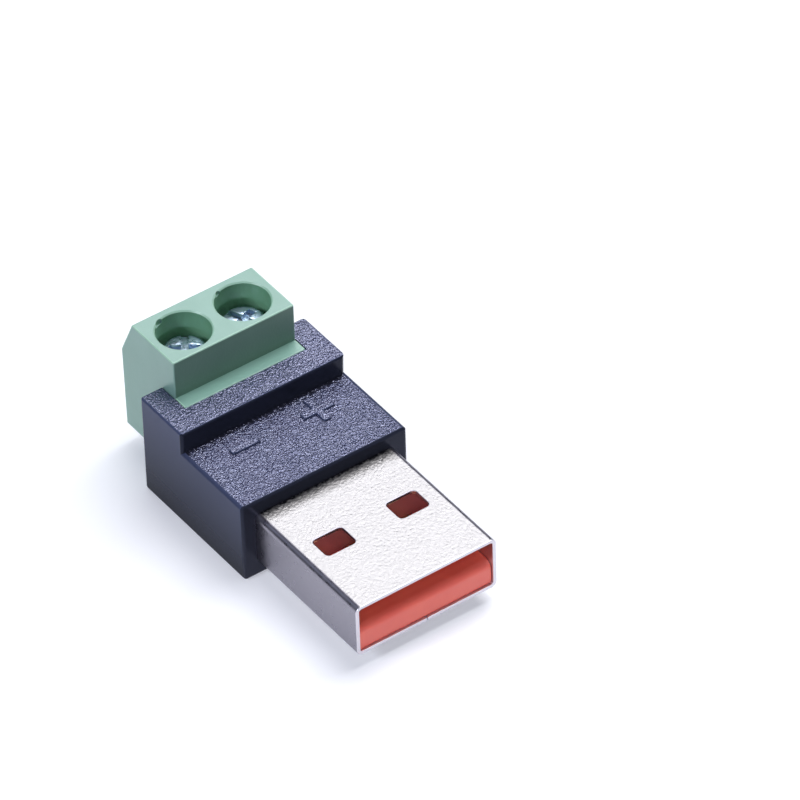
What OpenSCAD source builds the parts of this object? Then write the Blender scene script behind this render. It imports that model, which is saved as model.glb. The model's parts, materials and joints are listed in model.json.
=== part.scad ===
// Adapter with a USB-A plug at one end and a two-pole screw terminal at the other.
// Sizes are in millimetres. X runs along the plug towards its mouth, Y runs across
// it with the positive pole on +Y, and Z is up. The origin lies on the table, under
// the middle of the adapter's length and width.

/* [Plug shell] */
// Width of the shell
plug_w = 12; // [11.4:0.1:12.6]
// Height of the shell
plug_h = 4.5; // [4.2:0.1:4.9]
// Length of shell that stands out of the body
plug_reach = 12.1; // [11:0.1:14]
// Length of shell held in the body
plug_rooted = 5.4; // [4.8:0.1:6]
// Thickness of the shell's sheet
shell_t = 0.3; // [0.2:0.05:0.4]
// Outer bend radius along the shell's four edges
shell_r = 0.5; // [0.45:0.05:0.8]
// Width of a latch window, across the plug
window_w = 2.55; // [2:0.05:2.8]
// Length of a latch window, along the plug
window_l = 2; // [1.5:0.05:2.3]
// Corner radius of a latch window
window_r = 0.35; // [0.2:0.05:0.5]
// Distance between the centres of two windows, across the plug
window_pitch = 6.3; // [5.8:0.1:6.8]
// Distance from the mouth to the windows' centres
window_back = 6.55; // [5.8:0.05:7]
// Width of the seam along the underside
seam_w = 0.06; // [0.04:0.01:0.1]
// Distance from the mouth to the seam's dovetail
dovetail_back = 9.4; // [8:0.1:10.5]
// Length of the dovetail at its neck
dovetail_l = 1.4; // [1:0.1:2]
// Reach of the dovetail to the side
dovetail_reach = 1.2; // [0.8:0.1:1.6]
// Flare of the dovetail at each end
dovetail_flare = 0.3; // [0.1:0.05:0.5]

/* [Plug insulator and contacts] */
// Clearance between the insulator and the shell
insulator_gap = 0.02; // [0:0.01:0.05]
// Thickness of the tongue that carries the contacts
tongue_t = 1.95; // [1.7:0.05:2.1]
// Rounding of the tongue's nose
nose_r = 0.65; // [0.3:0.05:0.9]
// Distance of the nose behind the shell's mouth
nose_back = 0.2; // [0.1:0.05:0.5]
// Depth of the mouth, from the shell's edge to the rear block
mouth_depth = 7.6; // [7.2:0.1:9]
// Width of a plug contact
contact_w = 1.1; // [0.9:0.05:1.3]
// Thickness of a plug contact
contact_t = 0.3; // [0.2:0.05:0.4]
// Height of the contacts above the tongue
contact_proud = 0.05; // [0.02:0.01:0.1]
// Depth of the hook that anchors a contact's front end
hook_h = 0.7; // [0.5:0.05:0.9]
// Distance between the two power contacts
power_pitch = 7; // [6.8:0.1:7.2]
// Distance between the two data contacts
data_pitch = 2; // [1.8:0.1:2.2]
// Distance from the mouth to the front of a power contact
power_back = 1.9; // [1.2:0.1:2.2]
// Distance from the mouth to the front of a data contact
data_back = 2.9; // [2:0.1:3.2]
// Length of the clipped data tails behind the shell
data_tail = 1.2; // [0.6:0.1:1.6]

/* [Body] */
// Width of the moulded body
body_w = 14.2; // [13.4:0.1:16]
// Length of the low step, next to the plug
low_l = 7.25; // [6.8:0.05:9]
// Length of the high step, round the terminal
high_l = 5.15; // [4.2:0.05:6]
// Height of the low step
low_h = 6.9; // [6.2:0.1:7.6]
// Height of the high step
high_h = 8.6; // [8:0.1:9.4]
// Rounding of the body's upright edges on the positive pole's side
corner_r = 0.55; // [0.15:0.05:1]
// Rounding of the body's upright edges on the negative pole's side
crisp_corner_r = 0.25; // [0.15:0.05:1]
// Rounding of the body's lower edges
foot_r = 0.3; // [0.2:0.05:1]
// Rounding of the low step's upper edges
low_edge_r = 0.25; // [0.15:0.05:0.6]
// Rounding of the high step's upper edges
high_edge_r = 0.15; // [0.1:0.05:0.4]

/* [Terminal housing] */
// Distance between the two poles
pole_pitch = 5.08; // [5:0.01:5.3]
// Width of the housing
block_w = 10.4; // [10:0.1:11]
// Depth of the housing at its base
block_depth = 8; // [7.8:0.1:8.6]
// Depth of the housing's top
block_top = 5.2; // [5:0.1:5.6]
// Width of the ledge behind the housing's top
ledge_w = 1.25; // [1:0.05:1.4]
// Depth of the base held in the body
block_rooted = 2.9; // [2.4:0.1:3.4]
// Height of the housing's underside above the table
block_lift = 1.65; // [1.2:0.05:2]
// Overhang of the sloped front over the wire entries
brow = 0.1; // [0.05:0.05:0.2]
// Height of the brow above the wire entries
brow_h = 0.15; // [0.1:0.05:0.3]
// Width of a wire entry at the front
entry_w = 4.3; // [4.2:0.05:4.5]
// Length over which a wire entry narrows
entry_l = 0.8; // [0.5:0.1:1]
// Thickness of the floor under a clamp
floor_t = 0.9; // [0.7:0.05:1.1]
// Radius of a screwdriver hole
access_r = 2.05; // [1.95:0.05:2.1]
// Depth of a screw head below the housing's top
head_sunk = 1.6; // [1.3:0.05:2.2]
// Height of the head's pocket above the screw head
pocket_rise = 0.1; // [0.05:0.05:0.3]
// Relief of the head's pocket behind the wall of the screwdriver hole
pocket_relief = 0.2; // [0.16:0.01:0.25]
// Thickness of the shoulder under a screw head
shoulder_t = 0.5; // [0.4:0.05:0.8]
// Distance from the housing's front to the screws
screw_back = 4.2; // [4.1:0.05:4.3]

/* [Clamp] */
// Radius of a clamp screw's thread
screw_r = 1.2; // [1.1:0.05:1.3]
// Radius of a clamp screw's head
head_r = 1.6; // [1.5:0.05:1.75]
// Height of a clamp screw's head
head_h = 1.25; // [0.9:0.05:1.4]
// Rounded-off height of the head's rim
head_rim = 0.25; // [0.1:0.05:0.35]
// Width of the screwdriver slot
slot_w = 0.55; // [0.4:0.05:0.7]
// Depth of the screwdriver slot
slot_h = 0.45; // [0.4:0.05:0.7]
// Width of the cross recess's short arms
cross_w = 0.6; // [0.5:0.05:0.8]
// Length of the cross recess's short arms, from side to side
cross_l = 2.2; // [1.8:0.1:2.6]
// Turn of the slot on the positive pole, in degrees
turn_positive = 20; // [0:5:180]
// Turn of the slot on the negative pole, in degrees
turn_negative = 145; // [0:5:180]
// Width of a terminal contact
bar_w = 2.6; // [2.4:0.05:2.7]
// Thickness of a terminal contact
bar_t = 0.5; // [0.4:0.05:0.6]
// Distance of a terminal contact's lip behind the housing's front
lip_back = 0.9; // [0.7:0.05:1]
// Height of the lip above the terminal contact's underside
lip_h = 2.4; // [1.8:0.1:2.6]
// Backward lean of the lip, in degrees
lip_lean = 10; // [5:1:12]
// Width of a terminal contact's tail
tail_w = 1.2; // [1:0.05:1.4]
// Radius of the solder bead at the end of a tail
solder_r = 0.5; // [0.3:0.05:0.6]
// Opening for the wire between a cage and its terminal contact
wire_gap = 1.65; // [1.5:0.05:1.8]
// Opening that is left when a cage is fully raised
closed_gap = 0.075; // [0.05:0.005:0.15]
// Wall thickness at a cage's sides
cage_wall = 0.5; // [0.4:0.05:0.55]
// Thickness of a cage's folded lower bar
cage_bar = 1.15; // [1:0.05:1.3]
// Thickness of a cage's threaded top
cage_lid = 0.9; // [0.8:0.05:1]
// Length of a cage, along the wire
cage_l = 4.1; // [3.8:0.05:4.2]
// Bend radius at a cage's outer edges
cage_r = 0.6; // [0.4:0.05:0.7]
// Gap between the two folded layers of a cage's lower bar
lap_gap = 0.06; // [0.04:0.01:0.1]
// Depth of a groove in a cage's lower bar
groove_h = 0.15; // [0.1:0.05:0.25]
// Distance between the grooves
groove_pitch = 0.7; // [0.6:0.05:0.9]

/* [Clearances] */
// Clearance between pieces that run past each other
run_gap = 0.05; // [0.03:0.01:0.08]
// Clearance beside a cage in its chamber
cage_gap = 0.15; // [0.1:0.01:0.2]
// Clearance round a terminal contact in the housing's rear wall
bar_gap = 0.03; // [0.01:0.01:0.05]
// Clearance round a screw in the housing's shoulder
shank_gap = 0.1; // [0.08:0.01:0.15]
// Free length between the shell and a terminal contact's tail
tail_gap = 0.9; // [0.7:0.05:1.1]
// Length of a terminal contact between the housing and its bend
bend_gap = 0.7; // [0.6:0.05:0.9]

/* [Hidden] */
$fn = 64;
// Overshoot of a cut past the face that it opens
over = 0.1;

// Places along X
body_l = low_l + high_l;
total_l = plug_reach + body_l + block_depth - block_rooted;
x_mouth = total_l / 2;
x_body = x_mouth - plug_reach;
x_step = x_body - low_l;
x_end = x_body - body_l;
x_shell = x_body - plug_rooted;
x_block = x_end + block_rooted;
x_front = x_block - block_depth;
x_top_rear = x_block - ledge_w;
x_top_front = x_top_rear - block_top;
x_screw = x_front + screw_back;
x_cage_front = x_screw - cage_l / 2;
x_cage_rear = x_screw + cage_l / 2;
x_chamber = x_cage_rear + cage_gap;
x_bend = x_block + bend_gap;
x_tail = x_shell - tail_gap;

// Places along Y
y_power = power_pitch / 2;
y_data = data_pitch / 2;
y_pole = pole_pitch / 2;
y_bar = y_pole + bar_w / 2;

// Places along Z
z_shell = (low_h - plug_h) / 2;
z_tongue = z_shell + shell_t + tongue_t;
z_contact = z_tongue + contact_proud;
z_floor = block_lift + floor_t;
z_cage = z_floor + run_gap;
z_bar = z_cage + cage_bar + wire_gap;
z_lid = z_bar + bar_t + run_gap;
travel = wire_gap - closed_gap;
z_ceiling = z_lid + cage_lid + travel + run_gap;
z_seat = z_ceiling + shoulder_t;
z_head = z_seat + run_gap;
z_head_top = z_head + head_h;
z_access = z_head_top + pocket_rise;
z_top = z_head_top + head_sunk;
z_brow = z_ceiling + brow_h;

// Widths inside a pole
cage_in = bar_w + 2 * run_gap;
cage_out = cage_in + 2 * cage_wall;
chamber_w = cage_out + 2 * cage_gap;

// Extrudes an outline drawn in Y and Z along X
module along_x(x0, x1) {
  translate([x0, 0, 0]) rotate([90, 0, 90]) linear_extrude(x1 - x0) children();
}

// Extrudes an outline drawn in X and Z along Y
module along_y(y0, y1) {
  translate([0, y1, 0]) rotate([90, 0, 0]) linear_extrude(y1 - y0) children();
}

// Extrudes an outline drawn in X and Y along Z
module along_z(z0, z1) {
  translate([0, 0, z0]) linear_extrude(z1 - z0) children();
}

// Sharp tip of a corner at p, outside a rounding of radius r; the shape lies along d
module corner_tip(p, d, r) {
  if (r > 0) translate(p) difference() {
    translate([d[0] > 0 ? -over : -r, d[1] > 0 ? -over : -r]) square(r + over);
    translate(r * d) circle(r);
  }
}

// Rectangle from a to b; r lists its corner radii, anticlockwise from a
module rounded_rect(a, b, r) {
  difference() {
    translate(a) square(b - a);
    corner_tip(a, [1, 1], r[0]);
    corner_tip([b[0], a[1]], [-1, 1], r[1]);
    corner_tip(b, [-1, -1], r[2]);
    corner_tip([a[0], b[1]], [1, -1], r[3]);
  }
}

// Strip of thickness t along a line through points, with round bends
module strip(points, t) {
  for (k = [0 : len(points) - 2]) {
    p = points[k];
    run = points[k + 1] - p;
    translate(p) rotate(atan2(run[1], run[0])) translate([0, -t / 2]) square([norm(run), t]);
    if (k > 0) translate(p) circle(d = t);
  }
}

// Puts a shape that is drawn for the positive pole on the side s of the middle
module on_side(s) {
  if (s > 0) children();
  else mirror([0, 1, 0]) children();
}

// One level of the body, rounded along its edges
module body_step(x0, x1, h, edge_r) {
  intersection() {
    along_z(0, h)
      rounded_rect([x0, -body_w / 2], [x1, body_w / 2],
                   [crisp_corner_r, crisp_corner_r, corner_r, corner_r]);
    along_x(x0, x1)
      rounded_rect([-body_w / 2, 0], [body_w / 2, h], [foot_r, foot_r, edge_r, edge_r]);
    along_y(-body_w / 2, body_w / 2)
      rounded_rect([x0, 0], [x1, h], [foot_r, x1 < x_body ? 0 : foot_r, edge_r, edge_r]);
  }
}

// Outline of the plug, shrunk by inset on every side
module plug_section(inset) {
  r = max(shell_r - inset, 0);
  rounded_rect([-plug_w / 2 + inset, z_shell + inset], [plug_w / 2 - inset, z_shell + plug_h - inset],
               [r, r, r, r]);
}

// Space that the terminal housing fills in the body
module block_space() {
  translate([x_end - over, -block_w / 2, block_lift])
    cube([x_block - x_end + over, block_w, z_top - block_lift]);
}

module overmould_body() {
  color([0.15, 0.15, 0.18]) difference() {
    union() {
      body_step(x_end, x_body, low_h, low_edge_r);
      body_step(x_end, x_step, high_h, high_edge_r);
    }
    along_x(x_shell, x_body + over) plug_section(0);
    block_space();
    for (s = [-1, 1]) {
      contact(s * y_power, power_back, x_bend);
      contact(s * y_data, data_back, x_shell - data_tail);
      terminal_contact(s);
      solder_joint(s);
    }
  }
}

module plug_shell() {
  seam = [
    [x_shell - over, 0],
    [x_mouth - dovetail_back - dovetail_l / 2, 0],
    [x_mouth - dovetail_back - dovetail_l / 2 - dovetail_flare, dovetail_reach],
    [x_mouth - dovetail_back + dovetail_l / 2 + dovetail_flare, dovetail_reach],
    [x_mouth - dovetail_back + dovetail_l / 2, 0],
    [x_mouth + over, 0]
  ];
  color([0.8, 0.8, 0.83]) difference() {
    along_x(x_shell, x_mouth) difference() {
      plug_section(0);
      plug_section(shell_t);
    }
    for (s = [-1, 1]) along_z(z_shell - over, z_shell + plug_h + over)
      translate([x_mouth - window_back, s * window_pitch / 2])
        rounded_rect([-window_l / 2, -window_w / 2], [window_l / 2, window_w / 2],
                     [window_r, window_r, window_r, window_r]);
    along_z(z_shell - over, z_shell + shell_t + over) strip(seam, seam_w);
  }
}

module plug_insulator() {
  inset = shell_t + insulator_gap;
  color([0.82, 0.3, 0.2]) difference() {
    intersection() {
      along_x(x_shell, x_mouth - nose_back) plug_section(inset);
      along_y(-plug_w / 2, plug_w / 2) {
        rounded_rect([x_shell, 0], [x_mouth - nose_back, z_tongue], [0, 0, nose_r, 0]);
        translate([x_shell, 0]) square([x_mouth - mouth_depth - x_shell, low_h]);
      }
    }
    for (s = [-1, 1]) {
      contact(s * y_power, power_back, x_bend);
      contact(s * y_data, data_back, x_shell - data_tail);
    }
  }
}

// Plug contact at y, from its hook behind the mouth to the end of its tail
module contact(y, back, x_rear) {
  x_hook = x_mouth - back - contact_t / 2;
  z = z_contact - contact_t / 2;
  along_y(y - contact_w / 2, y + contact_w / 2)
    strip([[x_hook, z_contact - hook_h], [x_hook, z], [x_rear, z]], contact_t);
}

module contact_vbus() {
  color([0.85, 0.65, 0.35]) contact(y_power, power_back, x_bend);
}

module contact_data_minus() {
  color([0.85, 0.65, 0.35]) contact(y_data, data_back, x_shell - data_tail);
}

module contact_data_plus() {
  color([0.85, 0.65, 0.35]) contact(-y_data, data_back, x_shell - data_tail);
}

module contact_ground() {
  color([0.85, 0.65, 0.35]) contact(-y_power, power_back, x_bend);
}

// Everything that is hollowed out of the housing for one pole
module pole_space() {
  bar_slot = bar_w + 2 * bar_gap;
  translate([x_screw, 0, 0]) {
    translate([0, 0, z_access - over]) cylinder(r = access_r, h = z_top - z_access + 2 * over);
    translate([0, 0, z_seat]) cylinder(r = access_r + pocket_relief, h = z_access - z_seat);
    translate([0, 0, z_ceiling - over]) cylinder(r = screw_r + shank_gap, h = shoulder_t + 2 * over);
  }
  translate([x_front, -chamber_w / 2, z_floor])
    cube([x_chamber - x_front, chamber_w, z_ceiling - z_floor]);
  along_z(z_floor, z_ceiling) polygon([
    [x_front, -entry_w / 2], [x_front, entry_w / 2],
    [x_front + entry_l, chamber_w / 2], [x_front + entry_l, -chamber_w / 2]
  ]);
  translate([x_chamber - over, -bar_slot / 2, z_bar - bar_gap])
    cube([x_block - x_chamber + 2 * over, bar_slot, bar_t + 2 * bar_gap]);
}

module terminal_housing() {
  profile = [
    [x_front + brow, block_lift], [x_front + brow, z_brow], [x_front, z_brow],
    [x_top_front, z_top], [x_top_rear, z_top], [x_top_rear, high_h],
    [x_block, high_h], [x_block, block_lift]
  ];
  color([0.42, 0.6, 0.5]) difference() {
    along_y(-block_w / 2, block_w / 2) polygon(profile);
    for (s = [-1, 1]) translate([0, s * y_pole, 0]) pole_space();
  }
}

// Fixed contact of one pole: a lip at the wire entry, a clamping bar and a tail to the plug
module terminal_contact(s) {
  z = z_bar + bar_t / 2;
  x_lip = x_front + lip_back + bar_t / 2;
  lip_top = [x_lip + (lip_h - bar_t / 2) * tan(lip_lean), z_bar + lip_h];
  on_side(s) {
    along_y(y_bar - bar_w, y_bar) strip([lip_top, [x_lip, z], [x_block, z]], bar_t);
    along_y(y_bar - tail_w, y_bar)
      strip([[x_chamber, z], [x_bend, z], [x_bend, z_contact + bar_t / 2], [x_tail, z_contact + bar_t / 2]],
            bar_t);
  }
}

module terminal_contact_positive() {
  color([0.75, 0.75, 0.8]) terminal_contact(1);
}

module terminal_contact_negative() {
  color([0.75, 0.75, 0.8]) terminal_contact(-1);
}

// Solder bead between the end of a terminal contact's tail and a power contact
module solder_joint(s) {
  on_side(s) along_y(y_power - contact_w / 2, y_bar) translate([x_tail, z_contact]) intersection() {
    square(solder_r);
    circle(solder_r);
  }
}

module solder_joint_positive() {
  color([0.6, 0.6, 0.65]) solder_joint(1);
}

module solder_joint_negative() {
  color([0.6, 0.6, 0.65]) solder_joint(-1);
}

// Folded cage of one pole, at rest on the floor of its chamber
module clamp_cage(s) {
  z_in = z_cage + cage_bar;
  in_r = max(cage_r - cage_wall, over);
  translate([0, s * y_pole, 0]) difference() {
    along_x(x_cage_front, x_cage_rear) difference() {
      rounded_rect([-cage_out / 2, z_cage], [cage_out / 2, z_lid + cage_lid],
                   [cage_r, cage_r, cage_r, cage_r]);
      rounded_rect([-cage_in / 2, z_in], [cage_in / 2, z_lid], [in_r, in_r, in_r, in_r]);
      translate([-cage_in / 2, z_cage + (cage_bar - lap_gap) / 2]) square([cage_in, lap_gap]);
    }
    translate([x_screw, 0, z_lid - over]) cylinder(r = screw_r + run_gap, h = cage_lid + 2 * over);
    for (k = [-2 : 2]) along_y(-cage_in / 2, cage_in / 2)
      translate([x_screw + k * groove_pitch, z_in - groove_h])
        polygon([[0, 0], [groove_h + over, groove_h + over], [-groove_h - over, groove_h + over]]);
  }
}

module clamp_cage_positive() {
  color([0.62, 0.64, 0.68]) clamp_cage(1);
}

module clamp_cage_negative() {
  color([0.62, 0.64, 0.68]) clamp_cage(-1);
}

// Clamp screw of one pole; its tip bears on the terminal contact
module clamp_screw(s, turn) {
  z_tip = z_bar + bar_t + run_gap / 2;
  translate([x_screw, s * y_pole, 0]) difference() {
    union() {
      translate([0, 0, z_tip]) cylinder(r1 = screw_r - head_rim, r2 = screw_r, h = head_rim);
      translate([0, 0, z_tip + head_rim]) cylinder(r = screw_r, h = z_head - z_tip - head_rim);
      translate([0, 0, z_head]) cylinder(r = head_r, h = head_h - head_rim);
      translate([0, 0, z_head_top - head_rim]) cylinder(r1 = head_r, r2 = head_r - head_rim, h = head_rim);
    }
    translate([0, 0, z_head_top - slot_h]) rotate(turn) {
      translate([-head_r - over, -slot_w / 2, 0]) cube([2 * (head_r + over), slot_w, slot_h + over]);
      translate([-cross_w / 2, -cross_l / 2, 0]) cube([cross_w, cross_l, slot_h + over]);
    }
  }
}

module clamp_screw_positive() {
  color([0.66, 0.72, 0.8]) clamp_screw(1, turn_positive);
}

module clamp_screw_negative() {
  color([0.66, 0.72, 0.8]) clamp_screw(-1, turn_negative);
}

overmould_body();
plug_shell();
plug_insulator();
contact_vbus();
contact_data_minus();
contact_data_plus();
contact_ground();
terminal_housing();
terminal_contact_positive();
terminal_contact_negative();
clamp_cage_positive();
clamp_cage_negative();
clamp_screw_positive();
clamp_screw_negative();
solder_joint_positive();
solder_joint_negative();
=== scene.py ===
import json
import math

import bmesh
import bpy
from mathutils import Matrix, Vector

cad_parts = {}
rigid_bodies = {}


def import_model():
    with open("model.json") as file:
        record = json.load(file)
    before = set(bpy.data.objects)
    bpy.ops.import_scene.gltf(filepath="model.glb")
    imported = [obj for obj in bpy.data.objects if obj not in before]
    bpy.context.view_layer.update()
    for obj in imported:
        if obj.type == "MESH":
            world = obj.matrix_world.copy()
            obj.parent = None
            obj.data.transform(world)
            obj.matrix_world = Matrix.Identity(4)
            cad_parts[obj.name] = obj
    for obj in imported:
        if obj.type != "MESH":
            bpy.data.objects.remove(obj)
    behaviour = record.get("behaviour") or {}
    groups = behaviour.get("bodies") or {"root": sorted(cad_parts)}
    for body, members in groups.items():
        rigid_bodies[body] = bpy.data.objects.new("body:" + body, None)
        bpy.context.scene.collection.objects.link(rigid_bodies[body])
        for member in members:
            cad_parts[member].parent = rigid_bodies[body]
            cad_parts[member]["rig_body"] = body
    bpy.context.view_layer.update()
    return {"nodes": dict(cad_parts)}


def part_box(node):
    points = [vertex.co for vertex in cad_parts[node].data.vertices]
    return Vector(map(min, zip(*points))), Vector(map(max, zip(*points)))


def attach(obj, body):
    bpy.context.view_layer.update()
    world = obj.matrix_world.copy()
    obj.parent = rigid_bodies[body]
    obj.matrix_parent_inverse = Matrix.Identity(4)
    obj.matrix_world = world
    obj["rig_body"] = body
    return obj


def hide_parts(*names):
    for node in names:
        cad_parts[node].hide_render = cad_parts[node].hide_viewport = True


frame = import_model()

mm = 0.001  # sizes below are written in millimetres, the frame is in metres
nodes = frame["nodes"]
scene = bpy.context.scene
print("frame loaded:", len(nodes), "nodes")


# small helpers

meshing = {
    "weld": 0.0005, "cutWeld": 0.001,  # millimetres: closer points become one, in solids and after cuts
    "flat": 0.5, "sharp": 35, "crease": 40,  # degrees: faces made whole, edges to round, edges shaded sharp
    "facing": 0.99,  # a face looks along an axis when its normal has this much of it
}
near = 0.01 * mm  # a point closer than this to a level lies on it


def toLinear(hexColour):
    parts = [int(hexColour[k:k + 2], 16) / 255 for k in (1, 3, 5)]
    return [p / 12.92 if p <= 0.04045 else ((p + 0.055) / 1.055) ** 2.4 for p in parts] + [1.0]


def perSize(size):
    return 1 / (size * mm)  # pattern scale that gives one cell every so many millimetres


def addNode(tree, kind, settings=None, links=None):
    node = tree.nodes.new(kind)
    for key, value in (settings or {}).items():
        if isinstance(key, str) and hasattr(node, key):
            setattr(node, key, value)
        else:
            node.inputs[key].default_value = value
    for key, (source, output) in (links or {}).items():
        tree.links.new(source.outputs[output], node.inputs[key])
    return node


def newMaterial(name, settings):
    material = bpy.data.materials.new(name)
    material.use_nodes = True
    tree = material.node_tree
    tree.nodes.clear()
    shader = addNode(tree, "ShaderNodeBsdfPrincipled", settings)
    addNode(tree, "ShaderNodeOutputMaterial", None, {"Surface": (shader, "BSDF")})
    place = addNode(tree, "ShaderNodeTexCoord")
    return material, tree, shader, place


def addPiece(name, bm, materials, body):
    mesh = bpy.data.meshes.new(name)
    bm.to_mesh(mesh)
    bm.free()
    piece = bpy.data.objects.new(name, mesh)
    scene.collection.objects.link(piece)
    for material in materials:
        mesh.materials.append(material)
    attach(piece, body)
    return piece


def standFor(node, bm, materials):
    # a piece that takes a solid's place and has its name in camelCase
    first, *rest = node.split("_")
    name = first + "".join(word.capitalize() for word in rest)
    piece = addPiece(name, bm, materials, nodes[node]["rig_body"])
    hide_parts(node)
    return piece


def shadeByAngle(bm):
    limit = math.radians(meshing["crease"])
    for face in bm.faces:
        face.smooth = True
    for edge in bm.edges:
        edge.smooth = len(edge.link_faces) == 2 and edge.calc_face_angle(0) < limit


def keepFlats(piece):
    # large flat faces keep their own normals beside small rounded edges
    piece.modifiers.new("flats", "WEIGHTED_NORMAL").keep_sharp = True


def sharpEdges(bm):
    limit = math.radians(meshing["sharp"])
    return [e for e in bm.edges if len(e.link_faces) == 2 and e.calc_face_angle(0) > limit]


def edgesAt(bm, level):
    return [e for e in bm.edges if all(abs(v.co.z - level) < near for v in e.verts)]


def roundEdges(bm, edges, radius, segments):
    bmesh.ops.bevel(bm, geom=edges, offset=radius * mm, offset_type="OFFSET", segments=segments,
                    profile=0.5, affect="EDGES", material=-1, clamp_overlap=False)


def makeWhole(bm, weld):
    # merges points and makes flat faces whole
    bmesh.ops.remove_doubles(bm, verts=bm.verts, dist=weld * mm)
    bmesh.ops.dissolve_limit(bm, angle_limit=math.radians(meshing["flat"]), verts=bm.verts, edges=bm.edges)


def nodeCopy(node):
    bm = bmesh.new()
    bm.from_mesh(nodes[node].data)
    makeWhole(bm, meshing["weld"])
    return bm


def prism(outline, depth, axis):
    # outline is a list of corners; the prism grows from it along the axis
    bm = bmesh.new()
    face = bm.faces.new([bm.verts.new(p) for p in outline])
    grown = bmesh.ops.extrude_face_region(bm, geom=[face])["geom"]
    moved = [g for g in grown if isinstance(g, bmesh.types.BMVert)]
    bmesh.ops.translate(bm, verts=moved, vec=Vector(axis) * depth)
    bmesh.ops.recalc_face_normals(bm, faces=bm.faces)
    return bm


def block(low, high):
    corners = [(low[0], low[1]), (high[0], low[1]), (high[0], high[1]), (low[0], high[1])]
    return prism([(x, y, low[2]) for x, y in corners], high[2] - low[2], (0, 0, 1))


def spun(profile, steps):
    # closed shape from an outline of (radius, height) points that starts and ends on the axis
    bm = bmesh.new()
    verts = [bm.verts.new((radius * mm, 0, height * mm)) for radius, height in profile]
    edges = [bm.edges.new(pair) for pair in zip(verts, verts[1:])]
    bmesh.ops.spin(bm, geom=verts + edges, cent=(0, 0, 0), axis=(0, 0, 1), angle=2 * math.pi, steps=steps,
                   use_merge=True)
    bmesh.ops.remove_doubles(bm, verts=bm.verts, dist=meshing["weld"] * mm)
    bmesh.ops.recalc_face_normals(bm, faces=bm.faces)
    return bm


def inOrder(mesh):
    # cuts leave points and faces in another order each run, so the copy has them sorted
    bm = bmesh.new()
    points = sorted(mesh.vertices, key=lambda point: [round(part, 7) for part in point.co])
    rank = {point.index: k for k, point in enumerate(points)}
    verts = [bm.verts.new(point.co) for point in points]
    rings = []
    for face in mesh.polygons:
        ring = [rank[k] for k in face.vertices]
        first = ring.index(min(ring))
        rings.append(ring[first:] + ring[:first])
    for ring in sorted(rings):
        bm.faces.new([verts[k] for k in ring])
    return bm


def settle(piece):
    # makes what the modifiers give the piece's own mesh
    graph = bpy.context.evaluated_depsgraph_get()
    mesh = bpy.data.meshes.new_from_object(piece.evaluated_get(graph))
    bm = inOrder(mesh)
    bm.to_mesh(mesh)
    bm.free()
    piece.modifiers.clear()
    piece.data = mesh


def combine(piece, other, operation):
    # joins, cuts or trims a piece with another shape
    mesh = bpy.data.meshes.new("tool")
    other.to_mesh(mesh)
    other.free()
    tool = bpy.data.objects.new("tool", mesh)
    scene.collection.objects.link(tool)
    step = piece.modifiers.new("combine", "BOOLEAN")
    step.object = tool
    step.operation = operation
    step.solver = "EXACT"
    settle(piece)
    bpy.data.objects.remove(tool)


def finishMesh(piece, paint=None):
    # cleans what the cuts left, then sets smooth shading and face materials
    bm = bmesh.new()
    bm.from_mesh(piece.data)
    makeWhole(bm, meshing["cutWeld"])
    shadeByAngle(bm)
    for face in bm.faces:
        face.material_index = paint(face) if paint else 0
    bm.to_mesh(piece.data)
    bm.free()
    keepFlats(piece)


# camera, placed where the photograph was taken from

cameraView = {
    "lens": 360, "sensor": 36,  # a long lens, so the edges stay almost parallel
    "azimuth": 55.539, "elevation": 41.564, "roll": -2.026,  # degrees
    "distance": 565.318, "aim": (0.477, 8.157, 7.271), "clipStart": 10,  # millimetres
}


def makeCamera(view):
    turn, rise, roll = (math.radians(view[k]) for k in ("azimuth", "elevation", "roll"))
    back = Vector((math.sin(turn) * math.cos(rise), -math.cos(turn) * math.cos(rise), math.sin(rise)))
    right = Vector((math.cos(turn), math.sin(turn), 0))
    up = back.cross(right)
    tiltedRight = right * math.cos(roll) + up * math.sin(roll)
    tiltedUp = up * math.cos(roll) - right * math.sin(roll)
    data = bpy.data.cameras.new("camera")
    data.lens = view["lens"]
    data.sensor_width = view["sensor"]
    data.clip_start = view["clipStart"] * mm
    camera = bpy.data.objects.new("camera", data)
    camera.matrix_world = Matrix((tiltedRight, tiltedUp, back)).transposed().to_4x4()
    camera.location = (Vector(view["aim"]) + back * view["distance"]) * mm
    scene.collection.objects.link(camera)
    scene.camera = camera


makeCamera(cameraView)
print("camera placed")


# studio: a white table under soft boxes, in a room that only reflections see

studio = {
    "floorSize": 4000, "floorColour": "#d6d7da", "floorLift": 0.35, "liftColour": "#eef0ff",
    "skyColour": "#cdd6ee", "skyStrength": 0.05,
    # the room's walls end some way up, and a low black card stands behind the object: pairs of directions
    # along Z or X, from -1 to 1, between which one passes into the other
    "wallStrength": 0.9, "wallTop": (0.8, 0.62), "cardSide": (-0.45, -0.25), "cardTop": (0.47, 0.56),
    # overhead at the right, large and high behind, small and high at the left, gridded at the mouth
    # name: (place, aimed at, size across and high, power in watts, colour, spread in degrees)
    "softBoxes": {
        "overhead": ((-10, 230, 590), (0, 20, 0), (300, 520), 2.75, "#ffffff", 180),
        "behind": ((-440, 360, 600), (-440, 360, 0), (800, 600), 4.4, "#ffffff", 180),
        "left": ((-20, -480, 340), (0, 0, 6), (150, 130), 1.45, "#eef4ff", 180),
        "mouth": ((50, -24, 40), (14.8, 0.5, 4), (40, 30), 0.00105, "#ffffff", 26),
    },
}


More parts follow.
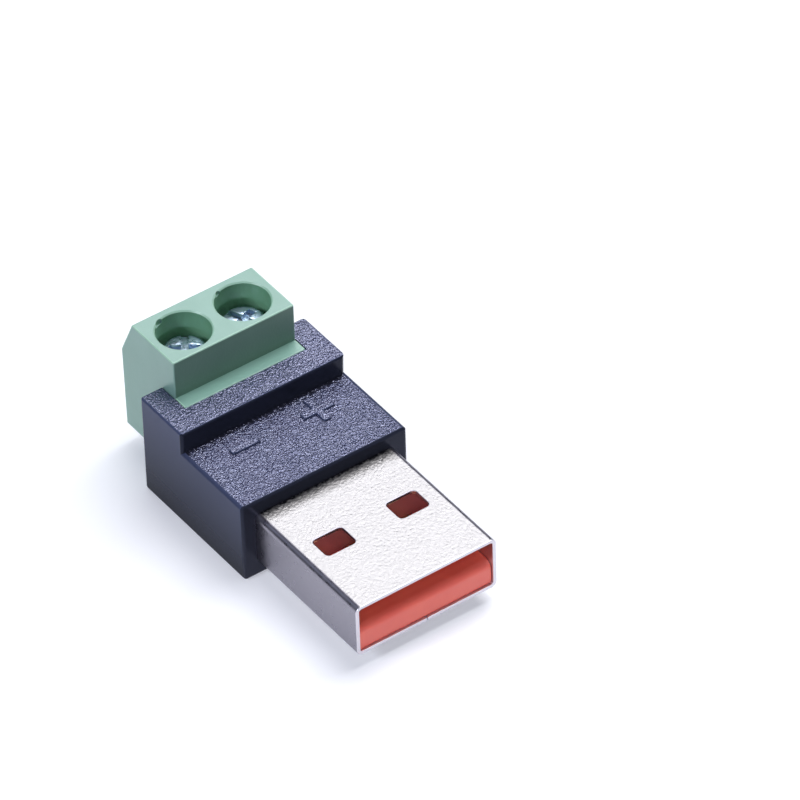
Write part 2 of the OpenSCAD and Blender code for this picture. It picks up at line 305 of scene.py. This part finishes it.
def makeFloor(look):
    bm = bmesh.new()
    bmesh.ops.create_grid(bm, x_segments=1, y_segments=1, size=look["floorSize"] * mm / 2)
    mesh = bpy.data.meshes.new("floor")
    bm.to_mesh(mesh)
    bm.free()
    floor = bpy.data.objects.new("floor", mesh)
    scene.collection.objects.link(floor)

    # matt white paper: the lift makes it white to the eye, and it still takes the shadow
    paper, tree, shader, place = newMaterial("mattPaper", {
        "Base Color": toLinear(look["floorColour"]), "Roughness": 0.9, "Specular IOR Level": 0.1,
        "Emission Color": toLinear(look["liftColour"])})
    ray = addNode(tree, "ShaderNodeLightPath")
    direct = addNode(tree, "ShaderNodeMath", {"operation": "MAXIMUM"}, {
        0: (ray, "Is Camera Ray"), 1: (ray, "Is Glossy Ray")})
    seen = addNode(tree, "ShaderNodeMath", {"operation": "MAXIMUM"}, {
        0: (direct, "Value"), 1: (ray, "Is Transmission Ray")})
    lift = addNode(tree, "ShaderNodeMath", {"operation": "MULTIPLY", 1: look["floorLift"]}, {
        0: (seen, "Value")})
    tree.links.new(lift.outputs["Value"], shader.inputs["Emission Strength"])
    mesh.materials.append(paper)


def makeRoom(look):
    world = bpy.data.worlds.new("studio")
    world.use_nodes = True
    tree = world.node_tree
    tree.nodes.clear()
    way = addNode(tree, "ShaderNodeTexCoord")
    heading = addNode(tree, "ShaderNodeSeparateXYZ", None, {"Vector": (way, "Generated")})
    beside = addNode(tree, "ShaderNodeMapRange", {
        "From Min": look["cardSide"][0], "From Max": look["cardSide"][1]}, {"Value": (heading, "X")})
    above = addNode(tree, "ShaderNodeMapRange", {
        "From Min": look["cardTop"][0], "From Max": look["cardTop"][1]}, {"Value": (heading, "Z")})
    clear = addNode(tree, "ShaderNodeMath", {"operation": "MAXIMUM"}, {
        0: (beside, "Result"), 1: (above, "Result")})
    pale = addNode(tree, "ShaderNodeMapRange", {
        "From Min": look["wallTop"][0], "From Max": look["wallTop"][1], "To Max": look["wallStrength"]},
        {"Value": (heading, "Z")})
    wall = addNode(tree, "ShaderNodeMath", {"operation": "MULTIPLY"}, {
        0: (pale, "Result"), 1: (clear, "Value")})
    ray = addNode(tree, "ShaderNodeLightPath")
    seen = addNode(tree, "ShaderNodeMath", {"operation": "MULTIPLY"}, {
        0: (wall, "Value"), 1: (ray, "Is Glossy Ray")})
    level = addNode(tree, "ShaderNodeMath", {"operation": "ADD", 1: look["skyStrength"]}, {
        0: (seen, "Value")})
    fill = addNode(tree, "ShaderNodeBackground", {"Color": toLinear(look["skyColour"])}, {
        "Strength": (level, "Value")})
    addNode(tree, "ShaderNodeOutputWorld", None, {"Surface": (fill, "Background")})
    scene.world = world


def makeLamps(look):
    for name, (spot, target, across, power, colour, spread) in look["softBoxes"].items():
        lamp = bpy.data.lights.new(name, "AREA")
        lamp.shape = "RECTANGLE"
        lamp.size = across[0] * mm
        lamp.size_y = across[1] * mm
        lamp.energy = power
        lamp.spread = math.radians(spread)
        lamp.color = toLinear(colour)[:3]
        box = bpy.data.objects.new(name, lamp)
        box.location = Vector(spot) * mm
        aim = (Vector(target) - Vector(spot)).to_track_quat("-Z", "Y")
        box.rotation_euler = aim.to_euler()
        scene.collection.objects.link(box)


makeFloor(studio)
makeRoom(studio)
makeLamps(studio)
scene.view_settings.view_transform = "Standard"
print("studio lit")


# materials; sizes of grain, cloud and ripple, and depths of relief, are in millimetres

noiseRange = {"From Min": 0.3, "From Max": 0.7}  # spreads a noise texture to run from 0 to 1


def shadeStripMask(tree, place, wall, reach):
    # 0 in a ragged strip of painted shade in front of a wall across the length, 1 further out
    look = {"ragged": 0.3, "start": 0.6, "end": 1.5}  # size of the rags, then shares of the reach
    cells = addNode(tree, "ShaderNodeTexNoise", {"Scale": perSize(look["ragged"]), "Detail": 2}, {
        "Vector": (place, "Object")})
    rags = addNode(tree, "ShaderNodeMapRange", noiseRange, {"Value": (cells, "Fac")})
    spot = addNode(tree, "ShaderNodeSeparateXYZ", None, {"Vector": (place, "Object")})
    shifted = addNode(tree, "ShaderNodeMath", {"operation": "MULTIPLY_ADD", 1: reach * mm}, {
        0: (rags, "Result"), 2: (spot, "X")})
    return addNode(tree, "ShaderNodeMapRange", {
        "From Min": wall + look["start"] * reach * mm, "From Max": wall + look["end"] * reach * mm},
        {"Value": (shifted, "Value")})


def mouldedPvcTextured(name, depth, wall=None):
    # soft PVC from a spark-eroded mould: a dark skin of fine grains that glint bluish one by one
    look = {"dark": "#24273e", "pale": "#4c506d", "glint": "#d6dafa", "grain": 0.17,
            "deep": "#0e1018", "corner": 0.6}  # colour and width of the painted shade in the corner under a wall
    material, tree, shader, place = newMaterial(name, {
        "Roughness": 0.27, "IOR": 1.97, "Specular IOR Level": 1, "Specular Tint": toLinear(look["glint"])})
    cells = addNode(tree, "ShaderNodeTexNoise", {"Scale": perSize(look["grain"]), "Detail": 1}, {
        "Vector": (place, "Object")})
    grain = addNode(tree, "ShaderNodeMapRange", noiseRange, {"Value": (cells, "Fac")})
    tint = addNode(tree, "ShaderNodeMix", {
        "data_type": "RGBA", 6: toLinear(look["dark"]), 7: toLinear(look["pale"])}, {0: (grain, "Result")})
    if wall is not None:
        # the mould's texture fades out in the corner, and the colour darkens there as painted shade
        outOfPaintedShade = shadeStripMask(tree, place, wall, look["corner"])
        tint = addNode(tree, "ShaderNodeMix", {"data_type": "RGBA", 6: toLinear(look["deep"])}, {
            0: (outOfPaintedShade, "Result"), 7: (tint, 2)})
        grain = addNode(tree, "ShaderNodeMapRange", None, {
            "Value": (grain, "Result"), "To Max": (outOfPaintedShade, "Result")})
    relief = addNode(tree, "ShaderNodeBump", {"Strength": 1, "Distance": depth * mm}, {
        "Height": (grain, "Result")})
    tree.links.new(tint.outputs[2], shader.inputs["Base Color"])
    tree.links.new(relief.outputs["Normal"], shader.inputs["Normal"])
    return material


def mouldedPvcSatin(name, foot, top, bend):
    # the same PVC from a polished side of the mould: bluish satin, faintly rippled, its colour running
    # upwards from the foot colour to the top colour as painted shade and painted reflection
    look = {"glint": "#b4c1ff", "height": 8.6, "ripple": 1.6, "depth": 0.002}
    material, tree, shader, place = newMaterial(name, {
        "Roughness": 0.2, "IOR": bend, "Specular IOR Level": 1, "Specular Tint": toLinear(look["glint"])})
    spot = addNode(tree, "ShaderNodeSeparateXYZ", None, {"Vector": (place, "Object")})
    rise = addNode(tree, "ShaderNodeMapRange", {"From Max": look["height"] * mm}, {"Value": (spot, "Z")})
    tint = addNode(tree, "ShaderNodeMix", {
        "data_type": "RGBA", 6: toLinear(foot), 7: toLinear(top)}, {0: (rise, "Result")})
    cells = addNode(tree, "ShaderNodeTexNoise", {"Scale": perSize(look["ripple"]), "Detail": 4}, {
        "Vector": (place, "Object")})
    ripple = addNode(tree, "ShaderNodeMapRange", noiseRange, {"Value": (cells, "Fac")})
    relief = addNode(tree, "ShaderNodeBump", {"Strength": 1, "Distance": look["depth"] * mm}, {
        "Height": (ripple, "Result")})
    tree.links.new(tint.outputs[2], shader.inputs["Base Color"])
    tree.links.new(relief.outputs["Normal"], shader.inputs["Normal"])
    return material


def mouldedPolyamide(name, deep, pale):
    # green polyamide, moulded and left satin: an even soft sheen, slightly cloudy colour
    look = {"cloud": 2.5, "grain": 0.16, "depth": 0.003}
    material, tree, shader, place = newMaterial(name, {"Roughness": 0.38, "Specular IOR Level": 0.85})
    mist = addNode(tree, "ShaderNodeTexNoise", {"Scale": perSize(look["cloud"]), "Detail": 4}, {
        "Vector": (place, "Object")})
    cloud = addNode(tree, "ShaderNodeMapRange", noiseRange, {"Value": (mist, "Fac")})
    tint = addNode(tree, "ShaderNodeMix", {
        "data_type": "RGBA", 6: toLinear(deep), 7: toLinear(pale)}, {0: (cloud, "Result")})
    cells = addNode(tree, "ShaderNodeTexNoise", {"Scale": perSize(look["grain"]), "Detail": 2}, {
        "Vector": (place, "Object")})
    grain = addNode(tree, "ShaderNodeMapRange", noiseRange, {"Value": (cells, "Fac")})
    relief = addNode(tree, "ShaderNodeBump", {"Strength": 1, "Distance": look["depth"] * mm}, {
        "Height": (grain, "Result")})
    tree.links.new(tint.outputs[2], shader.inputs["Base Color"])
    tree.links.new(relief.outputs["Normal"], shader.inputs["Normal"])
    return material


def mouldedPbt(name, deep, pale):
    # orange-red PBT, moulded: strong colour with a soft plastic sheen
    look = {"cloud": 1.8, "depth": 0.003}
    material, tree, shader, place = newMaterial(name, {"Roughness": 0.34, "Specular IOR Level": 0.9})
    mist = addNode(tree, "ShaderNodeTexNoise", {"Scale": perSize(look["cloud"]), "Detail": 3}, {
        "Vector": (place, "Object")})
    cloud = addNode(tree, "ShaderNodeMapRange", noiseRange, {"Value": (mist, "Fac")})
    tint = addNode(tree, "ShaderNodeMix", {
        "data_type": "RGBA", 6: toLinear(deep), 7: toLinear(pale)}, {0: (cloud, "Result")})
    relief = addNode(tree, "ShaderNodeBump", {"Strength": 1, "Distance": look["depth"] * mm}, {
        "Height": (cloud, "Result")})
    tree.links.new(tint.outputs[2], shader.inputs["Base Color"])
    tree.links.new(relief.outputs["Normal"], shader.inputs["Normal"])
    return material


def platedMetal(name, colour, size, rough, depth, wall=None):
    # plated sheet or wire: a metal whose gloss varies a little over fine grain, with a strip of painted shade
    # under a wall when one is given
    look = {"deep": "#323238", "corner": 0.4}  # colour and width of the painted shade strip under a wall
    material, tree, shader, place = newMaterial(name, {"Metallic": 1, "Base Color": toLinear(colour)})
    cells = addNode(tree, "ShaderNodeTexNoise", {"Scale": perSize(size), "Detail": 2}, {
        "Vector": (place, "Object")})
    grain = addNode(tree, "ShaderNodeMapRange", noiseRange, {"Value": (cells, "Fac")})
    gloss = addNode(tree, "ShaderNodeMapRange", {"To Min": rough[0], "To Max": rough[1]}, {
        "Value": (grain, "Result")})
    relief = addNode(tree, "ShaderNodeBump", {"Strength": 1, "Distance": depth * mm}, {
        "Height": (grain, "Result")})
    tree.links.new(gloss.outputs["Result"], shader.inputs["Roughness"])
    tree.links.new(relief.outputs["Normal"], shader.inputs["Normal"])
    # painted shade: the colour darkens in a strip under the wall
    if wall is not None:
        outOfPaintedShade = shadeStripMask(tree, place, wall, look["corner"])
        tint = addNode(tree, "ShaderNodeMix", {
            "data_type": "RGBA", 6: toLinear(look["deep"]), 7: toLinear(colour)}, {0: (outOfPaintedShade, "Result")})
        tree.links.new(tint.outputs[2], shader.inputs["Base Color"])
    return material


# depth of the grain
pvcTextured = mouldedPvcTextured("mouldedPvcTextured", 0.075)
pvcRubbed = mouldedPvcTextured("rubbedPvc", 0.075)  # tops of the pole marks
# colour at the foot and at the top, painted as shade and reflection, index of refraction
pvcSatin = mouldedPvcSatin("mouldedPvcSatin", "#0d1019", "#3f4662", 1.15)
pvcPolishedShaded = mouldedPvcSatin("polishedShadedPvc", "#33343e", "#1b1e28", 1.2)  # walls that face the plug: a little glossier, their darker colour painted shade, paler at the foot as painted reflection
# deeper and paler colour of the clouds
polyamide = mouldedPolyamide("mouldedPolyamide", "#78a194", "#7fa79b")
polyamidePaleEdge = mouldedPolyamide("paleEdgePolyamide", "#93bda9", "#9dc5b2")  # edges paler than the faces
polyamideShaded = mouldedPolyamide("shadedPolyamide", "#638775", "#688c7a")  # wall that faces the plug, darker: painted shade
polyamideHoleLit = mouldedPolyamide("holeLitPolyamide", "#78ac8a", "#7eb190")  # hole walls, paler and greener: painted light
pbt = mouldedPbt("mouldedPbt", "#fa6150", "#ff6a55")
pbtShaded = mouldedPbt("shadedPbt", "#a15657", "#ab5d5c")  # darker behind the windows: painted shade
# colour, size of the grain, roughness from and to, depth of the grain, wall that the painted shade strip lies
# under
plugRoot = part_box("overmould_body")[1].x
nickelPebbled = platedMetal("nickelPebbled", "#a2a0a1", 0.2, (0.3, 0.38), 0.014, plugRoot)
# the shell's narrow sides: smoother, and a darker nickel that is painted shade
nickelSmoothShaded = platedMetal("nickelSmoothShaded", "#8f8c96", 0.6, (0.26, 0.34), 0.001)
# inside the shell and at the rim of its mouth, a paler nickel: painted light
nickelLitInside = platedMetal("nickelLitInside", "#cfccd3", 0.3, (0.3, 0.4), 0.002)
goldFlash = platedMetal("goldFlash", "#dcb079", 0.2, (0.25, 0.4), 0.001)
tinPlate = platedMetal("tinPlate", "#d3d2d8", 0.6, (0.3, 0.34), 0.0005)
cageSteel = platedMetal("zincedSteel", "#b7b9bf", 0.2, (0.3, 0.45), 0.001)
zincBlue = platedMetal("blueZinc", "#b3c4d8", 0.4, (0.24, 0.4), 0.014)
solderTin = platedMetal("softSolder", "#bdbdc2", 0.3, (0.25, 0.4), 0.004)
print("materials made")


# moulded body round the plug and the terminal

bodyLook = {
    "lowTop": 6.9, "lowLength": 7.25, "lowGrain": 0.1,  # the step next to the plug, depth of its grain
    "corner": 0.55, "crispCorner": 0.25, "foot": 0.3, "lowEdge": 0.25, "highEdge": 0.15,  # roundings
    "segments": 6, "plugBend": 0.5,
    "seam": 0.05,  # gap round the housing
    "polished": 0.15,  # a wall is glossier and takes painted shade when its normal has this much of the plug's direction
}


def edgeRadius(edge, look, step, lowTop):
    a, b = (v.co for v in edge.verts)
    middle = (a + b) / 2
    if abs(a.z - b.z) > mm:
        rounder = middle.y > 0 and middle.x < step + mm
        return look["corner"] if rounder else look["crispCorner"]
    if middle.z < near:
        return look["foot"]
    if middle.z > lowTop + near:
        return look["highEdge"]
    if abs(a.y - b.y) > mm and abs(middle.x - step) < near:
        return 0  # the inner corner of the step stays sharp
    return look["lowEdge"]


def makeBody(look):
    low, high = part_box("overmould_body")
    lowTop = look["lowTop"] * mm
    step = high.x - look["lowLength"] * mm
    side = [(low.x, 0), (high.x, 0), (high.x, lowTop), (step, lowTop), (step, high.z), (low.x, high.z)]
    bm = prism([(x, low.y, z) for x, z in side], high.y - low.y, (0, 1, 0))
    widest = max(look["corner"], look["foot"])
    weight = bm.edges.layers.float.new("bevel_weight_edge")
    for edge in bm.edges:
        edge[weight] = edgeRadius(edge, look, step, lowTop) / widest
    # the low step's grain, with painted shade in the corner under the step's wall
    pvcLow = mouldedPvcTextured("mouldedPvcLow", look["lowGrain"], step)
    materials = [pvcSatin, pvcPolishedShaded, pvcTextured, pvcLow]
    piece = standFor("overmould_body", bm, materials)
    rounding = piece.modifiers.new("rounding", "BEVEL")
    rounding.limit_method = "WEIGHT"
    rounding.width = widest * mm
    rounding.segments = look["segments"]
    rounding.use_clamp_overlap = False
    settle(piece)

    shellPocket = block(*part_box("plug_shell"))
    lengthwise = [e for e in shellPocket.edges if abs(e.verts[0].co.x - e.verts[1].co.x) > mm]
    roundEdges(shellPocket, lengthwise, look["plugBend"], look["segments"])
    combine(piece, shellPocket, "DIFFERENCE")
    housingLow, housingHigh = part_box("terminal_housing")
    seam = Vector((1, 1, 1)) * look["seam"] * mm
    combine(piece, block(housingLow - seam, housingHigh + seam), "DIFFERENCE")

    def finish(face):
        height = face.calc_center_median().z
        level = face.normal.z > meshing["facing"]
        if level and abs(height - high.z) < near:
            return materials.index(pvcTextured)
        if level and abs(height - lowTop) < near:
            return materials.index(pvcLow)
        return materials.index(pvcPolishedShaded if face.normal.x > look["polished"] else pvcSatin)

    finishMesh(piece, finish)


makeBody(bodyLook)
print("body moulded")


# pieces that are the solids with their edges broken

softened = {
    # material's slot: (material, edge radius in millimetres, nodes)
    "gold_contact": (goldFlash, 0.04, [
        "contact_vbus", "contact_data_minus", "contact_data_plus", "contact_ground"]),
    "tinned_brass": (tinPlate, 0.05, ["terminal_contact_positive", "terminal_contact_negative"]),
    "cage_steel": (cageSteel, 0.04, ["clamp_cage_positive", "clamp_cage_negative"]),
}
edgeSegments = 2


def soften(node, materials, radius, paint=None):
    bm = nodeCopy(node)
    roundEdges(bm, sharpEdges(bm), radius, edgeSegments)
    shadeByAngle(bm)
    for face in bm.faces:
        face.material_index = paint(face) if paint else 0
    keepFlats(standFor(node, bm, materials))


for slot, (material, radius, group) in softened.items():
    for node in group:
        soften(node, [material], radius)
for node in ("solder_joint_positive", "solder_joint_negative"):
    nodes[node].data.materials.clear()
    nodes[node].data.materials.append(solderTin)
print("contacts and cages softened")


# plug: the insulator has painted shade at the back of the mouth; the shell is pebbled on its wide faces,
# smooth and painted darker as shade on its narrow ones, painted brighter as light inside and at the rim of
# its mouth

plugLook = {
    "insulatorEdge": 0.05, "shellEdge": 0.06, "rim": 0.12,
    "shadeFrom": 5,  # depth in the mouth from which the insulator has painted shade
    "shadeSlant": 0.9, "rimSlant": 0.3,  # how much the normals of faces with painted shade and of the rim point outwards
}


def makePlug(look):
    low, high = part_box("plug_shell")
    middle = (low + high) / 2

    def shaded(face):
        deep = face.calc_center_median().x < high.x - look["shadeFrom"] * mm
        return 1 if deep and face.normal.x > look["shadeSlant"] else 0

    def plated(face):
        outward = face.calc_center_median() - middle
        atRim = outward.x > high.x - middle.x - look["rim"] * mm and face.normal.x > look["rimSlant"]
        outward.x = 0
        # inside and at the rim the paler nickel is painted light
        if atRim or outward.dot(face.normal) < 0:
            return 2
        return 0 if abs(face.normal.z) > meshing["facing"] else 1

    soften("plug_insulator", [pbt, pbtShaded], look["insulatorEdge"], shaded)
    soften("plug_shell", [nickelPebbled, nickelSmoothShaded, nickelLitInside], look["shellEdge"], plated)


makePlug(plugLook)
print("plug folded and filled")


# clamp screws: pan head with slot and cross, cut thread on the shank

screwLook = {
    "head": 1.25, "rim": 0.3, "crown": 0.12, "neck": 0.15,  # heights
    "crownBend": (0.5, 0.3),  # shares of the radius and of the crown's fall where the crown bends
    "thread": 1.2, "core": 0.98, "pitch": 0.45, "spareTurns": 2,  # radii, pitch, turns cut off below the tip
    "slot": (0.55, 0.45), "cross": (0.6, 2.2),  # width and depth, width and length
    "past": 0.5, "edge": 0.05,  # how far the cutters stick out, rounding of the cut edges
    "turns": {"positive": 20, "negative": 145},  # degrees
    "steps": 48, "rimSteps": 6,
}


def threadedRod(look, low, high):
    # a zigzag line that climbs one pitch as it goes round once, then cut level at both ends
    pitch = look["pitch"] * mm
    start = low - look["spareTurns"] * pitch
    count = math.ceil((high - start) / pitch) + 1
    bm = bmesh.new()
    verts = []
    for k in range(2 * count):
        radius = look["core"] if k % 2 else look["thread"]
        verts.append(bm.verts.new((radius * mm, 0, start + k * pitch / 2)))
    edges = [bm.edges.new(pair) for pair in zip(verts, verts[1:])]
    bmesh.ops.spin(bm, geom=verts + edges, cent=(0, 0, 0), axis=(0, 0, 1), angle=2 * math.pi,
                   steps=look["steps"], dvec=(0, 0, pitch / look["steps"]), use_merge=False)
    bmesh.ops.remove_doubles(bm, verts=bm.verts, dist=meshing["cutWeld"] * mm)
    for level, side in ((low, -1), (high, 1)):
        bmesh.ops.bisect_plane(bm, geom=bm.verts[:] + bm.edges[:] + bm.faces[:], plane_co=(0, 0, level),
                               plane_no=(0, 0, side), clear_outer=True)
        rim = [e for e in edgesAt(bm, level) if e.is_boundary]
        bmesh.ops.holes_fill(bm, edges=rim, sides=0)
    bmesh.ops.recalc_face_normals(bm, faces=bm.faces)
    return bm


def makeScrew(pole, look):
    node = "clamp_screw_" + pole
    low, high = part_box(node)
    axis = (low + high) / 2
    radius = (high.x - low.x) / 2 / mm
    top = high.z / mm
    under = top - look["head"]
    shoulder = top - look["crown"] - look["rim"]
    profile = [(0, under), (radius, under), (radius, shoulder)]
    for k in range(1, look["rimSteps"] + 1):
        turn = math.pi / 2 * k / look["rimSteps"]
        inner = radius - look["rim"]
        profile.append((inner + look["rim"] * math.cos(turn), shoulder + look["rim"] * math.sin(turn)))
    out, fall = look["crownBend"]
    profile += [(radius * out, top - look["crown"] * fall), (0, top)]
    piece = standFor(node, spun(profile, 2 * look["steps"]), [zincBlue])

    turn = Matrix.Rotation(math.radians(look["turns"][pole]), 4, "Z")
    slotWidth, slotDepth = look["slot"]
    crossWidth, crossLength = look["cross"]
    slotReach = radius + look["past"]
    for halfX, halfY in ((slotReach, slotWidth / 2), (crossWidth / 2, crossLength / 2)):
        corner = Vector((halfX, halfY, top + look["past"])) * mm
        opposite = Vector((-halfX, -halfY, top - slotDepth)) * mm
        cut = block(opposite, corner)
        bmesh.ops.transform(cut, matrix=turn, verts=cut.verts)
        combine(piece, cut, "DIFFERENCE")
    edges = piece.modifiers.new("edges", "BEVEL")
    edges.width = look["edge"] * mm
    edges.segments = edgeSegments
    edges.angle_limit = math.radians(meshing["crease"])
    settle(piece)

    rod = threadedRod(look, low.z, (under + look["neck"]) * mm)
    combine(piece, rod, "UNION")
    piece.data.transform(Matrix.Translation((axis.x, axis.y, 0)))
    finishMesh(piece)


for pole in screwLook["turns"]:
    makeScrew(pole, screwLook)
print("screws cut")


# terminal housing: the solid with its outer edges rounded, the holes' rims broken and nicked

housingLook = {
    "edge": 0.1, "edgeSegments": 3, "shortest": 0.5,  # rounding, and the shortest edge that gets it
    "rim": 0.1, "hole": 2.05, "past": 0.1,  # rim's chamfer, hole's radius, how far the cutters stick out
    "rimSteps": 96, "nickSteps": 32,
    # pole: (angle round the hole in degrees, radius of the nick, how far it bites past the rim, depth)
    "nicks": {"negative": (-154, 0.5, 0.14, 0.4), "positive": (-155, 0.3, 0.12, 0.3)},
    "holeDepth": 3, "inward": 0.9,  # faces down to this depth that look at a screw's axis are a hole's wall
    "paleEdgeArea": 2, "paleEdgeSlant": 0.2, "paleEdgeSide": 0.15,  # paler edge faces: area, slant, distance from the sides
}


def makeHousing(look):
    low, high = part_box("terminal_housing")
    top = high.z / mm
    bm = nodeCopy("terminal_housing")
    side = min(bm.faces, key=lambda face: face.calc_center_median().y)
    outline = [v.co.copy() for v in side.verts]
    brow = sorted({round(p.z, 6) for p in outline})[-2]  # level of the brow above the wire entries
    front = max(p.x for p in outline if p.z > high.z - near)  # place of the wall that faces the plug
    outer = prism(outline, high.y - low.y, (0, 1, 0))

    def rounded(edge):
        a, b = (v.co for v in edge.verts)
        underBrow = abs(a.y - b.y) > mm and abs(a.z - brow) < near
        return edge.is_convex and edge.calc_length() > look["shortest"] * mm and not underBrow

    roundEdges(outer, [e for e in outer.edges if rounded(e)], look["edge"], look["edgeSegments"])
    materials = [polyamide, polyamidePaleEdge, polyamideShaded, polyamideHoleLit]
    piece = standFor("terminal_housing", bm, materials)
    combine(piece, outer, "INTERSECT")

    hole, past = look["hole"], look["past"]
    foot = top - look["rim"]
    cone = [(0, foot), (hole, foot), (hole + look["rim"] + past, top + past), (0, top + past)]
    centres = []
    for pole, (angle, radius, bite, depth) in look["nicks"].items():
        screwLow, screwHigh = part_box("clamp_screw_" + pole)
        centre = (screwLow + screwHigh).xy / 2
        centres.append(centre)
        axis = Matrix.Translation((centre.x, centre.y, 0))
        rim = spun(cone, look["rimSteps"])
        bmesh.ops.transform(rim, matrix=axis, verts=rim.verts)
        combine(piece, rim, "DIFFERENCE")
        drum = [(0, top - depth), (radius, top - depth), (radius, top + past), (0, top + past)]
        nick = spun(drum, look["nickSteps"])
        offset = Vector((hole + bite - radius, 0, 0)) * mm
        place = axis @ Matrix.Rotation(math.radians(angle), 4, "Z") @ Matrix.Translation(offset)
        bmesh.ops.transform(nick, matrix=place, verts=nick.verts)
        combine(piece, nick, "DIFFERENCE")

    def inHole(face, middle):
        nearest = min(centres, key=lambda centre: (middle.xy - centre).length)
        inward = (nearest - middle.xy).normalized().dot(face.normal.xy) > look["inward"]
        return inward and middle.z > high.z - look["holeDepth"] * mm

    def paleEdge(face, middle):
        small = face.calc_area() < look["paleEdgeArea"] * mm * mm
        slanted = sum(abs(part) > look["paleEdgeSlant"] for part in face.normal) > 1
        atSide = abs(middle.y) > high.y - look["paleEdgeSide"] * mm
        onLedge = face.normal.x > look["paleEdgeSlant"] and middle.z < high.z - mm
        return small and slanted and (atSide or face.normal.z > look["paleEdgeSlant"]) and not onLedge

    def finish(face):
        middle = face.calc_center_median()
        # hole walls take painted light
        if inHole(face, middle):
            return materials.index(polyamideHoleLit)
        if paleEdge(face, middle):
            return materials.index(polyamidePaleEdge)
        # the wall that faces the plug takes painted shade
        atFront = face.normal.x > meshing["facing"] and abs(middle.x - front) < near
        return materials.index(polyamideShaded if atFront else polyamide)

    finishMesh(piece, finish)


makeHousing(housingLook)
print("housing moulded")


# raised polarity marks on the low step

markLook = {
    "plus": (-2.48, 3.1, 2.6, 2.6), "minus": (-2.5, -3.15, 0.58, 2.33),  # place, then size along X and Y
    "stroke": 0.6, "height": 0.16, "sunk": 0.1, "edge": 0.06,
}


def makeMark(name, outline, look):
    base = (bodyLook["lowTop"] - look["sunk"]) * mm
    depth = (look["sunk"] + look["height"]) * mm
    bm = prism([(x * mm, y * mm, base) for x, y in outline], depth, (0, 0, 1))
    roundEdges(bm, edgesAt(bm, base + depth), look["edge"], edgeSegments)
    shadeByAngle(bm)
    for face in bm.faces:
        face.material_index = 1 if face.normal.z > meshing["facing"] else 0
    keepFlats(addPiece(name, bm, [pvcSatin, pvcRubbed], "adapter"))


x, y, across, along = markLook["minus"]
minus = [(x + i * across / 2, y + j * along / 2) for i, j in ((-1, -1), (1, -1), (1, 1), (-1, 1))]
makeMark("minusMark", minus, markLook)
x, y, across, along = markLook["plus"]
half, thin = across / 2, markLook["stroke"] / 2
plus = []
for k in range(4):
    turn = Matrix.Rotation(k * math.pi / 2, 2)
    for corner in ((half, -thin), (half, thin), (thin, thin)):
        plus.append(Vector((x, y)) + turn @ Vector(corner))
makeMark("plusMark", plus, markLook)
print("marks raised")
